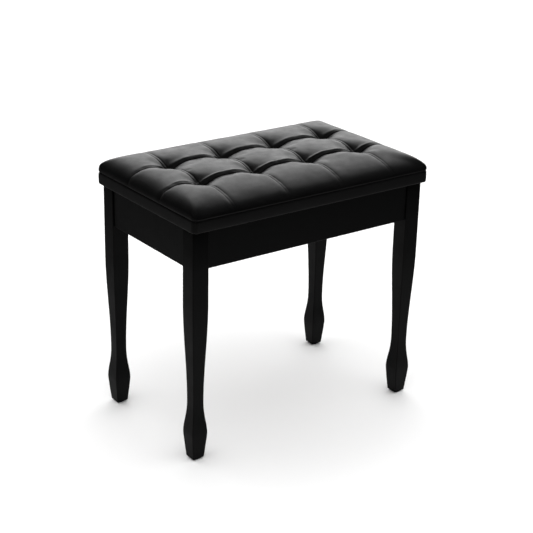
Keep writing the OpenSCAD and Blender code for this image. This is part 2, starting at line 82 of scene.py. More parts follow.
def clamp01(t):
    return np.clip(t, 0.0, 1.0)


def smooth(low, high, value):
    """0 below low, 1 above high, and a smooth rise between them."""
    return ease(clamp01((value - low) / (high - low)))


def make_piece(name, points, faces):
    """A mesh piece with smooth shading and outward normals."""
    mesh = bpy.data.meshes.new(name)
    mesh.from_pydata([tuple(p) for p in points], [], [tuple(f) for f in faces])
    bm = bmesh.new()
    bm.from_mesh(mesh)
    bmesh.ops.remove_doubles(bm, verts=bm.verts, dist=1e-6)
    bmesh.ops.recalc_face_normals(bm, faces=bm.faces)
    bm.to_mesh(mesh)
    bm.free()
    mesh.shade_smooth()
    piece = bpy.data.objects.new(name, mesh)
    bpy.context.scene.collection.objects.link(piece)
    return piece


def get_points(piece):
    flat = np.zeros(len(piece.data.vertices) * 3)
    piece.data.vertices.foreach_get("co", flat)
    return flat.reshape(-1, 3)


def paint(piece, look):
    """Puts one material on every slot of a piece."""
    if not piece.material_slots:
        piece.data.materials.append(look)
    for material_slot in piece.material_slots:
        material_slot.material = look


def steps(low, high, count):
    """Evenly spaced values from low to high, both included."""
    return [mix(low, high, i / count) for i in range(count + 1)]


def ring_face(ring, place, count):
    """The face between two neighbouring rings of count points each, at a place round them."""
    after = (place + 1) % count
    low, high = ring * count, (ring + 1) * count
    return (low + place, low + after, high + after, high + place)


# ------------------------------------------------------------------ material helpers

class Look:
    """A procedural material: a Principled shader and short calls that add nodes to it."""

    def __init__(self, name, colour, roughness, metallic=0.0, specular=0.5):
        self.material = bpy.data.materials.new(name)
        self.material.use_nodes = True
        self.tree = self.material.node_tree
        self.shader = self.tree.nodes["Principled BSDF"]
        self.set("Base Color", (*colour, 1.0))
        self.set("Roughness", roughness)
        self.set("Metallic", metallic)
        self.set("Specular IOR Level", specular)
        self.place = self.tree.nodes.new("ShaderNodeTexCoord").outputs["Object"]

    def set(self, socket, value):
        self.shader.inputs[socket].default_value = value

    def link(self, output, socket):
        self.tree.links.new(output, self.shader.inputs[socket])

    def node(self, kind, inputs, **settings):
        made = self.tree.nodes.new(kind)
        for key, value in settings.items():
            setattr(made, key, value)
        for key, value in inputs.items():
            if isinstance(value, bpy.types.NodeSocket):
                self.tree.links.new(value, made.inputs[key])
            else:
                made.inputs[key].default_value = value
        return made

    def stretched(self, scale):
        """The object's own coordinates, scaled along each axis."""
        return self.node("ShaderNodeMapping", {"Vector": self.place, "Scale": scale}).outputs[0]

    def noise(self, scale, detail=3.0, rough=0.5, distortion=0.0, place=None):
        inputs = {"Vector": place or self.place, "Scale": scale, "Detail": detail,
                  "Roughness": rough, "Distortion": distortion}
        return self.node("ShaderNodeTexNoise", inputs).outputs["Fac"]

    def cells(self, scale, place=None, soft=False):
        """Round cells; soft ones melt into each other."""
        inputs = {"Vector": place or self.place, "Scale": scale}
        made = self.node("ShaderNodeTexVoronoi", inputs, feature="SMOOTH_F1" if soft else "F1")
        if soft:
            made.inputs["Smoothness"].default_value = 0.6
        return made.outputs["Distance"]

    def math(self, operation, a, b=0.0):
        return self.node("ShaderNodeMath", {0: a, 1: b}, operation=operation).outputs[0]

    def between(self, value, low, high, from_low=0.0, from_high=1.0):
        """Maps a value to the range low..high."""
        inputs = {"Value": value, "From Min": from_low, "From Max": from_high,
                  "To Min": low, "To Max": high}
        return self.node("ShaderNodeMapRange", inputs).outputs[0]

    def blend(self, fac, a, b):
        """A colour between two colours."""
        made = self.tree.nodes.new("ShaderNodeMix")
        made.data_type = "RGBA"
        for socket, value in ((0, fac), (6, a), (7, b)):
            if isinstance(value, bpy.types.NodeSocket):
                self.tree.links.new(value, made.inputs[socket])
            elif socket == 0:
                made.inputs[0].default_value = value
            else:
                made.inputs[socket].default_value = (*value, 1.0)
        return made.outputs[2]

    def bump(self, heights):
        """Chains bumps from (height output, depth in metres) pairs into the shader's normal."""
        normal = None
        for height, depth in heights:
            inputs = {"Height": height, "Distance": depth, "Strength": 1.0}
            if normal is not None:
                inputs["Normal"] = normal
            normal = self.node("ShaderNodeBump", inputs).outputs[0]
        self.link(normal, "Normal")


def leather_look():
    """Black grained leatherette with a soft sheen."""
    look = Look("black_leatherette", (0.003, 0.003, 0.0032), 0.30, specular=0.5)
    tone = look.noise(14.0, 4.0)
    look.link(look.blend(tone, (0.0018, 0.0018, 0.002), (0.0042, 0.0041, 0.004)), "Base Color")
    mottle = look.noise(60.0, 5.0, 0.6)
    look.link(look.between(mottle, 0.30, 0.42, 0.3, 0.7), "Roughness")
    grain = look.cells(950.0, soft=True)
    creases = look.noise(260.0, 4.0, 0.55, 0.6, look.stretched((1.0, 1.35, 1.0)))
    look.bump([(creases, 0.00005), (grain, 0.00003)])
    return look.material


def paint_look():
    """Satin black paint on wood: faint orange peel, scuffs, and a little wear on the edges."""
    look = Look("black_satin_paint", (0.0025, 0.0025, 0.0027), 0.36, specular=0.3)
    scuff = look.noise(22.0, 6.0, 0.62)
    look.link(look.between(scuff, 0.30, 0.46, 0.3, 0.7), "Roughness")
    edge = look.node("ShaderNodeNewGeometry", {}).outputs["Pointiness"]
    wear = look.math("MULTIPLY", look.between(edge, 0.0, 1.0, 0.53, 0.62), scuff)
    look.link(look.blend(wear, (0.0018, 0.0018, 0.0019), (0.014, 0.0137, 0.0134)), "Base Color")
    peel = look.noise(420.0, 2.0, 0.5)
    brush = look.noise(30.0, 3.0, 0.5, 0.0, look.stretched((6.0, 6.0, 1.0)))
    look.bump([(brush, 0.00012), (peel, 0.00003)])
    return look.material


def floor_look():
    """Pale paper; reflections see it dimmer, most of all far away, so that the paint stays dark."""
    look = Look("pale_floor", (0.9, 0.9, 0.9), 0.9, specular=0.05)
    seen = look.node("ShaderNodeLightPath", {}).outputs["Is Camera Ray"]
    away = look.node("ShaderNodeVectorMath", {0: look.place}, operation="LENGTH").outputs["Value"]
    reflected = look.between(away, 0.22, 0.06, 0.45, 1.1)
    look.link(look.blend(seen, reflected, (0.93, 0.93, 0.93)), "Base Color")
    return look.material


def plain_look(name, colour, roughness, scale, depth, specular=0.4):
    """A matt material whose tone and surface vary a little."""
    look = Look(name, colour, roughness, specular=specular)
    tone = look.noise(scale, 4.0)
    dark = tuple(c * 0.8 for c in colour)
    light = tuple(min(1.0, c * 1.15) for c in colour)
    look.link(look.blend(tone, dark, light), "Base Color")
    look.link(look.between(tone, roughness - 0.06, roughness + 0.06, 0.3, 0.7), "Roughness")
    look.bump([(look.noise(scale * 9, 3.0), depth)])
    return look.material


def wood_look(name, colour, along, scale=1.0):
    """Raw wood with its grain along one axis: 0 for X, 1 for Y, 2 for Z."""
    look = Look(name, colour, 0.62, specular=0.3)
    stretch = [26.0 * scale, 26.0 * scale, 26.0 * scale]
    stretch[along] = 1.6 * scale
    place = look.stretched(stretch)
    rings = look.noise(1.0, 4.0, 0.5, 0.5, place)
    fibre = look.noise(11.0, 3.0, 0.6, 0.0, place)
    dark = tuple(c * 0.74 for c in colour)
    tone = look.math("ADD", look.math("MULTIPLY", rings, 0.7), look.math("MULTIPLY", fibre, 0.3))
    look.link(look.blend(look.between(tone, 0.0, 1.0, 0.36, 0.62), dark, colour), "Base Color")
    look.link(look.between(fibre, 0.52, 0.70, 0.3, 0.7), "Roughness")
    look.bump([(fibre, 0.00015)])
    return look.material


def plywood_look():
    """Birch plywood: grain along X on the faces, and layers across the board's thickness."""
    look = Look("birch_plywood", (0.62, 0.47, 0.30), 0.6, specular=0.3)
    face = look.noise(1.0, 5.0, 0.55, 1.0, look.stretched((2.0, 30.0, 4.0)))
    height = look.node("ShaderNodeSeparateXYZ", {"Vector": look.place}).outputs[2]
    ply = look.math("SINE", look.math("MULTIPLY", height, 2 * math.pi / (3.0 * MM)))
    layer = look.between(ply, 0.0, 1.0, -0.25, 0.25)
    normal = look.node("ShaderNodeNewGeometry", {}).outputs["Normal"]
    tilt = look.node("ShaderNodeSeparateXYZ", {"Vector": normal}).outputs[2]
    on_face = look.between(look.math("ABSOLUTE", tilt), 0.0, 1.0, 0.5, 0.8)
    grain = look.between(face, 0.0, 1.0, 0.35, 0.65)
    broad = look.blend(grain, (0.50, 0.36, 0.21), (0.66, 0.51, 0.33))
    sides = look.blend(layer, (0.34, 0.22, 0.12), (0.62, 0.47, 0.30))
    look.link(look.blend(on_face, sides, broad), "Base Color")
    look.bump([(face, 0.00012)])
    return look.material


def zinc_look():
    """Zinc-plated steel: dull, with fine scratches and a faint yellow bloom."""
    look = Look("zinc_plate", (0.60, 0.60, 0.60), 0.34, metallic=1.0)
    bloom = look.noise(70.0, 4.0)
    look.link(look.blend(bloom, (0.52, 0.53, 0.55), (0.66, 0.645, 0.60)), "Base Color")
    scratch = look.noise(1.0, 4.0, 0.6, 0.3, look.stretched((120.0, 900.0, 500.0)))
    look.link(look.between(scratch, 0.26, 0.46, 0.3, 0.7), "Roughness")
    look.bump([(scratch, 0.00002)])
    return look.material


def foam_look():
    """Open-cell foam: fine round pores."""
    look = Look("open_foam", (0.80, 0.72, 0.48), 0.92, specular=0.1)
    tone = look.noise(18.0, 3.0)
    look.link(look.blend(tone, (0.74, 0.65, 0.41), (0.84, 0.77, 0.55)), "Base Color")
    look.bump([(look.cells(1100.0), 0.0004)])
    return look.material


def cambric_look():
    """Black non-woven cloth with its pressed dot pattern."""
    look = Look("black_cambric", (0.02, 0.02, 0.021), 0.88, specular=0.15)
    fibre = look.noise(500.0, 4.0, 0.6)
    look.link(look.blend(fibre, (0.012, 0.012, 0.013), (0.036, 0.036, 0.038)), "Base Color")
    dots = look.cells(700.0, place=look.stretched((1.0, 1.0, 0.01)))
    look.bump([(dots, 0.00012), (fibre, 0.00005)])
    return look.material


def twine_look():
    """Waxed twine with its strands wound round it."""
    look = Look("waxed_twine", (0.62, 0.58, 0.48), 0.7, specular=0.2)
    strand = look.noise(1.0, 2.0, 0.5, 0.0, look.stretched((700.0, 700.0, 1500.0)))
    look.link(look.blend(strand, (0.46, 0.42, 0.33), (0.70, 0.66, 0.56)), "Base Color")
    look.bump([(strand, 0.0003)])
    return look.material


LOOKS = {
    "black_leather": leather_look(),
    "black_paint": paint_look(),
    "foam": foam_look(),
    "cambric": cambric_look(),
    "twine": twine_look(),
    "zinc": zinc_look(),
    "plywood": plywood_look(),
    "hardboard": plain_look("smooth_hardboard", (0.26, 0.16, 0.09), 0.55, 30.0, 0.00006),
    "pine_along_x": wood_look("pine_cleats", (0.68, 0.50, 0.29), 0),
    "pine_upright": wood_look("pine_blocks", (0.66, 0.47, 0.27), 2, 1.5),
    "rubber": plain_look("bumper_rubber", (0.025, 0.025, 0.025), 0.82, 90.0, 0.00008, specular=0.25),
    "plastic": plain_look("glide_plastic", (0.05, 0.05, 0.05), 0.5, 120.0, 0.00004),
}

# CAD nodes that stay as they are and get a look of their own
NODE_LOOKS = {
    "foot_glides": "plastic",
    "lid_bumpers": "rubber",
    "corner_blocks": "pine_upright",
    "panel_cleats": "pine_along_x",
    "storage_panel": "hardboard",
    "seat_board": "plywood",
    "tuft_ties": "twine",
}
ZINC_NODES = [
    "block_screws", "hanger_bolts", "bolt_washers", "wing_nuts", "cleat_screws", "panel_nails",
    "hinge_frame_leaves", "hinge_lid_leaves", "hinge_pins", "hinge_frame_screws",
    "hinge_lid_screws", "tie_washers", "cover_staples", "stay_rail", "stay_rail_screws",
    "stay_arm", "stay_slide_pin", "stay_bracket", "stay_pivot_pin", "stay_bracket_screws",
]


def paint_cad_nodes():
    """Gives each CAD node that stays its own look."""
    for node, look in NODE_LOOKS.items():
        paint(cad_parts[node], LOOKS[look])
    for node in ZINC_NODES:
        paint(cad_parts[node], LOOKS["zinc"])


# ------------------------------------------------------------------ frame: legs and aprons

LEG_W = leg_high.x - leg_low.x
NECK_W = 21.4 * MM
FLARE_W = 31.4 * MM
FOOT_W = 22.6 * MM
TAPER_Z = 298 * MM
NECK_Z = 115 * MM
FLARE_Z = 52 * MM
LEG_RADIUS = 1.2 * MM
EDGE_SUPPORT = 1.0 * MM
INNER_CUT = 10 * MM
APRON_RADIUS = 1.4 * MM
APRON_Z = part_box("apron_front")[0].z


def leg_width(z):
    """Width of the leg's square section at height z: post, taper, neck, flare and foot."""
    if z >= TAPER_Z:
        return LEG_W
    if z >= NECK_Z:
        return mix(NECK_W, LEG_W, ease((z - NECK_Z) / (TAPER_Z - NECK_Z)))
    if z >= FLARE_Z:
        return mix(NECK_W, FLARE_W, ease(((NECK_Z - z) / (NECK_Z - FLARE_Z)) ** 1.3))
    return mix(FLARE_W, FOOT_W, ((FLARE_Z - z) / (FLARE_Z - leg_low.z)) ** 1.2)


def leg_section(z, drawn_in, inner_cut):
    """One ring of a leg, round its four corners; the first corner is the inner one."""
    half = leg_width(z) / 2 - drawn_in
    reach = [math.radians(a) for a in (0, 22.5, 45, 67.5, 90)]
    ring = []
    for corner in range(4):
        turn = math.radians(180 + 90 * corner)
        along = Vector((math.cos(turn), math.sin(turn), 0))
        across = Vector((-along.y, along.x, 0))
        centre = (along + across) * (half - LEG_RADIUS)
        arc = [math.cos(a) * along + math.sin(a) * across for a in reach]
        points = [centre + LEG_RADIUS * out for out in arc]
        if corner == 0 and inner_cut:
            first = along * half + across * (half - inner_cut)
            last = along * (half - inner_cut) + across * half
            points = [first.lerp(last, i / 4) for i in range(5)]
        ring += [points[0] - EDGE_SUPPORT * across] + points + [points[-1] - EDGE_SUPPORT * along]
    return [Vector((p.x, p.y, z)) for p in ring]


def build_leg(node, sx, sy):
    """A square tapered leg with a spade foot, for the corner at sx, sy."""
    low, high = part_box(node)
    centre = (low + high) / 2
    base, top = low.z, high.z
    cut = INNER_CUT
    levels = [(base, 1.2 * MM, 0), (base + 0.4 * MM, 0.4 * MM, 0), (base + 1.2 * MM, 0, 0)]
    levels += [(z, 0, 0) for z in steps(base + 2.5 * MM, FLARE_Z, 14)]
    levels += [(z, 0, 0) for z in steps(FLARE_Z, NECK_Z, 22)[1:]]
    levels += [(z, 0, 0) for z in steps(NECK_Z, TAPER_Z, 36)[1:]]
    levels += [(z, 0, 0) for z in steps(TAPER_Z, APRON_Z, 3)[1:]]
    levels += [(APRON_Z + 0.01 * MM, 0, cut), (top - 1.0 * MM, 0, cut)]
    levels += [(top - 0.3 * MM, 0.3 * MM, cut), (top, 1.0 * MM, cut)]
    rings = [leg_section(*level) for level in levels]
    count = len(rings[0])
    points = [(centre.x + sx * p.x, centre.y + sy * p.y, p.z) for ring in rings for p in ring]
    faces = [ring_face(i, j, count) for i in range(len(rings) - 1) for j in range(count)]
    faces.append(tuple(range(count)))
    faces.append(tuple(range((len(rings) - 1) * count, len(rings) * count)))
    piece = make_piece(node + "_turned", points, faces)
    paint(piece, LOOKS["black_paint"])
    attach(piece, "frame")
    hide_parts(node)


def rounded_marks(low, high, radius):
    """Places along one side of a rounded block, close together in its round ends."""
    arc = [radius * (1 - math.tan(math.radians(a))) for a in (45, 30, 15, 0)]
    near = [low + a for a in arc] + [low + radius + 1.0 * MM]
    far = [high - a for a in arc] + [high - radius - 1.0 * MM]
    count = max(1, int((high - low) / (40 * MM)))
    return sorted(near + steps(near[-1], far[-1], count)[1:-1] + far)


def rounded_block(name, low, high, radius):
    """A board with all its edges rounded."""
    marks = [rounded_marks(low[a], high[a], radius) for a in range(3)]
    inner_low = [v + radius for v in low]
    inner_high = [v - radius for v in high]
    points = []
    faces = []
    for axis in range(3):
        u, v = [a for a in range(3) if a != axis]
        for side in (low[axis], high[axis]):
            start = len(points)
            for a in marks[u]:
                for b in marks[v]:
                    p = [0.0, 0.0, 0.0]
                    p[axis], p[u], p[v] = side, a, b
                    core = Vector([min(max(p[k], inner_low[k]), inner_high[k]) for k in range(3)])
                    points.append(core + (Vector(p) - core).normalized() * radius)
            rows, columns = len(marks[u]), len(marks[v])
            for i in range(rows - 1):
                for j in range(columns - 1):
                    k = start + i * columns + j
                    faces.append((k, k + 1, k + columns + 1, k + columns))
    return make_piece(name, points, faces)


def build_aprons():
    """The four boards between the legs."""
    for side in ("front", "back", "left", "right"):
        node = "apron_" + side
        low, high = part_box(node)
        piece = rounded_block(node + "_board", low, high, APRON_RADIUS)
        paint(piece, LOOKS["black_paint"])
        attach(piece, "frame")
        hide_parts(node)


# ------------------------------------------------------------------ seat: shape of the crown

# How far in from the edge the crown rises: at the back, the front and the ends
CROWN_RUN = 50 * MM
FRONT_RUN = 100 * MM
END_RUN = 64 * MM
MEAN_CELL = 2.9 * MM
# Creases along the rows and the columns of tufts, and how shallow they are where they meet the edge
SADDLE_DEPTH = 5.0 * MM
END_DEPTH = 1.0 * MM
COLUMN_DEPTH = 3.4 * MM
FRONT_DEPTH = 0.4 * MM
TUFT_PULL = 3 * MM
TUFT_SPREAD = 12 * MM
FUNNEL_DEPTH = 16 * MM
FUNNEL_REACH = 47 * MM
# The raised lip behind each row of tufts
LIP = 1.4 * MM
LIP_PLACE = 8.5 * MM
LIP_WIDTH = 2.7 * MM
PLEAT_HALF = 2.6 * MM
# How far the rim is tucked in and down behind the band
RIM_TUCK = 2 * MM
# The most that the air moves the cover, its pressure, and how many frames it blows
SWELL = 2.5 * MM
PRESSURE = 4.0
BLOW_FRAMES = 20
FOLD_SEED = 11.0


def crease_spaced(low, high):
    """Marks from low to high that lie closer together near both ends."""
    count = round((high - low) / MEAN_CELL)
    tight = 0.6
    t = np.linspace(0, 1, count + 1)
    return low + (high - low) * (t - tight * np.sin(2 * np.pi * t) / (2 * np.pi))


def plan_marks(half, creases, run):
    """Grid lines across the seat: close at creases, and in even steps up each rounded shoulder."""
    turns = np.linspace(0, np.pi / 2, 19)
    shoulder = half - run * (1 - np.cos(turns))
    inner = crease_spaced(max(creases), half - run)
    marks = [crease_spaced(a, b) for a, b in zip(creases, creases[1:])]
    marks += [inner, -inner, shoulder, -shoulder]
    return np.unique(np.round(np.concatenate(marks), 7))


def halved(marks):
    """The same marks with one more between each two."""
    fine = np.zeros(2 * len(marks) - 1)
    fine[0::2] = marks
    fine[1::2] = (marks[:-1] + marks[1:]) / 2
    return fine


def round_corner(x, y):
    """Moves points of a square-cornered plan into the round-cornered outline of the seat."""
    a = clamp01((np.abs(x) - (HALF_X - CORNER_R)) / CORNER_R)
    b = clamp01((np.abs(y) - (HALF_Y - CORNER_R)) / CORNER_R)
    out_x = np.where(a > 0, HALF_X - CORNER_R + CORNER_R * a * np.sqrt(1 - b * b / 2), np.abs(x))
    out_y = np.where(b > 0, HALF_Y - CORNER_R + CORNER_R * b * np.sqrt(1 - a * a / 2), np.abs(y))
    return np.sign(x) * out_x, np.sign(y) * out_y


def edge_inset(x, y):
    """How far a point of the square-cornered plan lies in from the edge, rounded at the corners."""
    near_x = np.maximum(HALF_X - np.abs(x), 1e-7) * CROWN_RUN / END_RUN
    near_y = np.maximum(HALF_Y - np.abs(y), 1e-7) * np.where(y < 0, CROWN_RUN / FRONT_RUN, 1.0)
    power = -5.0
    return (near_x ** power + near_y ** power) ** (1 / power)


def crown_height(x, y):
    """Height of the plain crown: full shoulders at the ends and back, a flatter curve at the front."""
    inset = edge_inset(x, y)
    t = clamp01(inset / CROWN_RUN)
    frontal = smooth(-20 * MM, 20 * MM, (HALF_X - np.abs(x)) - (HALF_Y + y))
    power = mix(2.3, 1.9, frontal)
    return SEAM_Z + (CREST_Z - SWELL - SEAM_Z) * (1 - (1 - t) ** power) ** (1 / power)


def pillow(distance, depth, reach):
    """Cross-section of the valley between two pillows: a tight bottom and round shoulders."""
    t = clamp01(1 - np.abs(distance) / reach)
    return depth * (1 - np.sqrt(1 - t * t))


def near_tuft(along, tufts):
    """1 at the tufts along an axis, falling away on both sides of each."""
    return np.max([np.exp(-np.abs(along - tuft) / TUFT_SPREAD) for tuft in tufts], axis=0)


def nearest(along, marks):
    """How far each point lies from the nearest mark along an axis."""
    return np.min([np.abs(along - mark) for mark in marks], axis=0)


def crease_dip(x, y):
    """How far the creases and tufts pull the cover in, at each point of the plan."""
    power = 4.0  # how sharply crossing creases meet
    total = np.zeros_like(x)
    run_end = smooth(max(TUFT_XS), HALF_X, np.abs(x))
    row_depth = mix(SADDLE_DEPTH, END_DEPTH, run_end) + TUFT_PULL * near_tuft(x, TUFT_XS)
    lip = np.zeros_like(x)
    for row in TUFT_YS:
        behind = 5 * MM + 8 * MM * run_end + 1.1 * row_depth
        reach = np.where(y > row, behind, 12 * MM + 2.0 * row_depth)
        total += pillow(y - row, row_depth, reach) ** power
        lip += LIP * (1 - run_end) * np.exp(-((y - row - LIP_PLACE) / LIP_WIDTH) ** 2)
    run_out = smooth(max(TUFT_YS), HALF_Y, np.abs(y))
    column_depth = mix(COLUMN_DEPTH, FRONT_DEPTH, run_out) + TUFT_PULL * near_tuft(y, TUFT_YS)
    for column in TUFT_XS:
        beside = np.maximum(np.abs(x - column) - PLEAT_HALF, -PLEAT_HALF * 0.35)
        total += pillow(beside, column_depth, 8 * MM + 1.5 * column_depth) ** power
    dip = total ** (1 / power) - lip
    for column in TUFT_XS:
        for row in TUFT_YS:
            away = np.hypot(x - column, y - row)
            dip += FUNNEL_DEPTH * clamp01(1 - away / FUNNEL_REACH) ** 1.9
    return dip


def grid_normals(points):
    """Upward normals of a grid of points, as large as the grid."""
    along = np.gradient(points, axis=0)
    across = np.gradient(points, axis=1)
    normal = np.cross(along, across)
    return normal / np.maximum(np.linalg.norm(normal, axis=2, keepdims=True), 1e-12)


def start_shape(xs, ys):
    """The crown with its creases, before the air goes in, as a grid of points."""
    x, y = np.meshgrid(xs, ys, indexing="ij")
    plan_x, plan_y = round_corner(x, y)
    crown = np.stack([plan_x, plan_y, crown_height(x, y)], axis=2)
    height = crown[:, :, 2:3] - SEAM_Z
    dip = crease_dip(x, y)[:, :, None] * smooth(0, 14 * MM, height)
    return crown - grid_normals(crown) * dip


def grid_faces(rows, columns):
    """Faces of a grid whose points run along the columns first."""
    faces = []
    for i in range(rows - 1):
        for j in range(columns - 1):
            k = i * columns + j
            faces.append((k, k + columns, k + columns + 1, k + 1))
    return faces


def plain_mesh(name, points, faces):
    """A smooth-shaded mesh whose points keep their order."""
    mesh = bpy.data.meshes.new(name)
    mesh.from_pydata(np.asarray(points).reshape(-1, 3).tolist(), [], faces)
    mesh.shade_smooth()
    piece = bpy.data.objects.new(name, mesh)
    bpy.context.scene.collection.objects.link(piece)
    return piece


# ------------------------------------------------------------------ seat: cover

def hold_weights(xs, ys):
    """Where the cover is held while the air goes in: at the edge, the creases and the tufts."""
    x, y = np.meshgrid(xs, ys, indexing="ij")
    edge = 1 - smooth(0, 12 * MM, edge_inset(x, y))
    near_row = nearest(y, TUFT_YS)
    near_column = nearest(x, TUFT_XS)
    crease = np.maximum(1 - near_row / (4 * MM), 1 - near_column / (6 * MM)) * 0.95
    tuft = 1 - np.hypot(near_row, near_column) / (14 * MM)
    return clamp01(np.maximum.reduce([edge, crease, tuft]))


def inflate(piece, hold):
    """Swells the cover by air pressure while the held points stay; returns how each point moved."""
    rest = get_points(piece)
    group = piece.vertex_groups.new(name="hold")
    for index, weight in enumerate(hold):
        if weight > 0:
            group.add([index], float(weight), "REPLACE")
    cloth = piece.modifiers.new("cloth", "CLOTH")
    settings = cloth.settings
    settings.vertex_group_mass = "hold"
    settings.quality = 5
    settings.mass = 0.3
    settings.tension_stiffness = 25
    settings.compression_stiffness = 25
    settings.shear_stiffness = 8
    settings.bending_stiffness = 0.4
    settings.use_pressure = True
    settings.uniform_pressure_force = PRESSURE
    settings.effector_weights.gravity = 0
    cloth.collision_settings.use_collision = False
    scene = bpy.context.scene
    scene.frame_start = 1
    scene.frame_end = BLOW_FRAMES
    for step in range(1, BLOW_FRAMES + 1):
        scene.frame_set(step)
    graph = bpy.context.evaluated_depsgraph_get()
    swollen = np.array([v.co for v in piece.evaluated_get(graph).data.vertices])
    piece.modifiers.remove(cloth)
    piece.vertex_groups.remove(group)
    scene.frame_set(1)
    moved = swollen - rest
    length = np.linalg.norm(moved, axis=1, keepdims=True)
    return moved * np.minimum(1.0, SWELL / np.maximum(length, 1e-9))


def doubled(field, axis):
    """A field on a grid, filled in at the points halfway between the grid's lines."""
    field = np.moveaxis(field, axis, 0)
    padded = np.concatenate([2 * field[:1] - field[1:2], field, 2 * field[-1:] - field[-2:-1]])
    between = (9 * (padded[1:-2] + padded[2:-1]) - padded[:-3] - padded[3:]) / 16
    fine = np.zeros((2 * len(field) - 1,) + field.shape[1:])
    fine[0::2] = field
    fine[1::2] = between
    return np.moveaxis(fine, 0, axis)


def noise_field(x, y, scale, seed):
    """Smooth noise over the plan, from about -1 to 1; scale is its cells per metre."""
    flat = [noise.noise(Vector((a * scale, b * scale, seed))) for a, b in zip(x.ravel(), y.ravel())]
    return np.array(flat).reshape(x.shape)


def fold_relief(x, y):
    """Small folds sewn or pulled into the cover: pleats round each tuft and along the creases."""
    relief = 0.5 * MM * noise_field(x, y, 24, FOLD_SEED)
    gather = noise_field(x, y, 95, FOLD_SEED + 1)
    near_row = nearest(y, TUFT_YS)
    near_column = nearest(x, TUFT_XS)
    relief += 0.55 * MM * gather * np.exp(-near_row / (8 * MM))
    relief += 0.35 * MM * gather * np.exp(-near_column / (8 * MM))
    for i, column in enumerate(TUFT_XS):
        for j, row in enumerate(TUFT_YS):
            away = np.hypot(x - column, y - row)
            turn = np.arctan2(y - row, x - column)
            wave = np.sin(7 * turn + 1.7 * i + 2.9 * j) + 0.6 * np.sin(11 * turn + i - j)
            reach = smooth(3 * MM, 9 * MM, away) * np.exp(-away / (15 * MM))
            relief += 0.75 * MM * wave * reach
    return relief


def build_cover_top():
    """The tufted top of the cover: start shape, cloth simulation, then the folds and the seam."""
    xs = plan_marks(HALF_X, TUFT_XS, END_RUN)
    ys = plan_marks(HALF_Y, TUFT_YS, FRONT_RUN)
    fine_xs, fine_ys = halved(xs), halved(ys)
    shape = start_shape(fine_xs, fine_ys)
    coarse = start_shape(xs, ys)
    trial = plain_mesh("cover_trial", coarse, grid_faces(len(xs), len(ys)))
    moved = inflate(trial, hold_weights(xs, ys).ravel())
    bpy.data.objects.remove(trial)
    moved = moved.reshape(len(xs), len(ys), 3)
    shape = shape + doubled(doubled(moved, 0), 1)
    x, y = np.meshgrid(fine_xs, fine_ys, indexing="ij")
    height = shape[:, :, 2] - SEAM_Z
    relief = fold_relief(x, y) * smooth(1 * MM, 12 * MM, height)
    relief -= 0.6 * MM * np.exp(-(height / (1.5 * MM)) ** 2)
    shape = shape + grid_normals(shape) * relief[:, :, None]
    rim = np.minimum(HALF_X - np.abs(x), HALF_Y - np.abs(y)) < 1e-6
    inward = np.stack([-np.sign(x), -np.sign(y), np.full_like(x, -1)], axis=2)
    shape[rim] += inward[rim] * RIM_TUCK
    piece = plain_mesh("cover_top_tufted", shape, grid_faces(len(fine_xs), len(fine_ys)))
    paint(piece, LOOKS["black_leather"])
    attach(piece, "lid")
    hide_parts("cover_top")


FOAM_INSET = 4 * MM
FOAM_COLUMNS = 87
FOAM_ROWS = 55
FOAM_GAP = 3.5 * MM
FOAM_EDGE = 4 * MM
TWINE_HOLE = 9 * MM


def build_drill():
    """One upright cylinder at each tuft, which cuts the holes in the foam."""
    bm = bmesh.new()
    for column in TUFT_XS:
        for row in TUFT_YS:
            place = Matrix.Translation((column, row, board_high.z))
            bmesh.ops.create_cone(bm, cap_ends=True, segments=24, radius1=TWINE_HOLE,
                                  radius2=TWINE_HOLE, depth=100 * MM, matrix=place)
    mesh = bpy.data.meshes.new("drill")
    bm.to_mesh(mesh)
    bm.free()
    drill = bpy.data.objects.new("drill", mesh)
    bpy.context.scene.collection.objects.link(drill)
    return drill


def apply_modifier(piece, modifier):
    """Makes what a modifier does part of the piece's mesh."""
    graph = bpy.context.evaluated_depsgraph_get()
    piece.data = bpy.data.meshes.new_from_object(piece.evaluated_get(graph))
    piece.modifiers.remove(modifier)


def build_foam():
    """The foam under the cover, with a hole at each tuft for the twine."""
    xs = np.linspace(-HALF_X + FOAM_INSET, HALF_X - FOAM_INSET, FOAM_COLUMNS)
    ys = np.linspace(-HALF_Y + FOAM_INSET, HALF_Y - FOAM_INSET, FOAM_ROWS)
    x, y = np.meshgrid(xs, ys, indexing="ij")
    plan_x, plan_y = round_corner(x, y)
    # The foam's shoulders are a little steeper than the cover's
    inner = crown_height(x * 1.012, y * 1.02) - crease_dip(x, y) - FOAM_GAP
    top_z = np.maximum(inner, board_high.z + FOAM_EDGE)
    top = np.stack([plan_x, plan_y, top_z], axis=2)
    base = np.stack([plan_x, plan_y, np.full_like(x, board_high.z)], axis=2)
    faces = grid_faces(len(xs), len(ys))
    count = top.size // 3
    faces += [tuple(count + k for k in face) for face in faces]
    rim = [(i, 0) for i in range(len(xs))]
    rim += [(len(xs) - 1, j) for j in range(1, len(ys))]
    rim += [(i, len(ys) - 1) for i in range(len(xs) - 2, -1, -1)]
    rim += [(0, j) for j in range(len(ys) - 2, 0, -1)]
    rim = [i * len(ys) + j for i, j in rim]
    for a, b in zip(rim, rim[1:] + rim[:1]):
        faces.append((a, b, b + count, a + count))
    points = np.concatenate([top.reshape(-1, 3), base.reshape(-1, 3)])
    piece = make_piece("foam_block", points, faces)
    drill = build_drill()
    cut = piece.modifiers.new("holes", "BOOLEAN")
    cut.operation = "DIFFERENCE"
    cut.solver = "EXACT"
    cut.object = drill
    apply_modifier(piece, cut)
    bpy.data.objects.remove(drill)
    paint(piece, LOOKS["foam"])
    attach(piece, "lid")
    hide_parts("foam_pad")


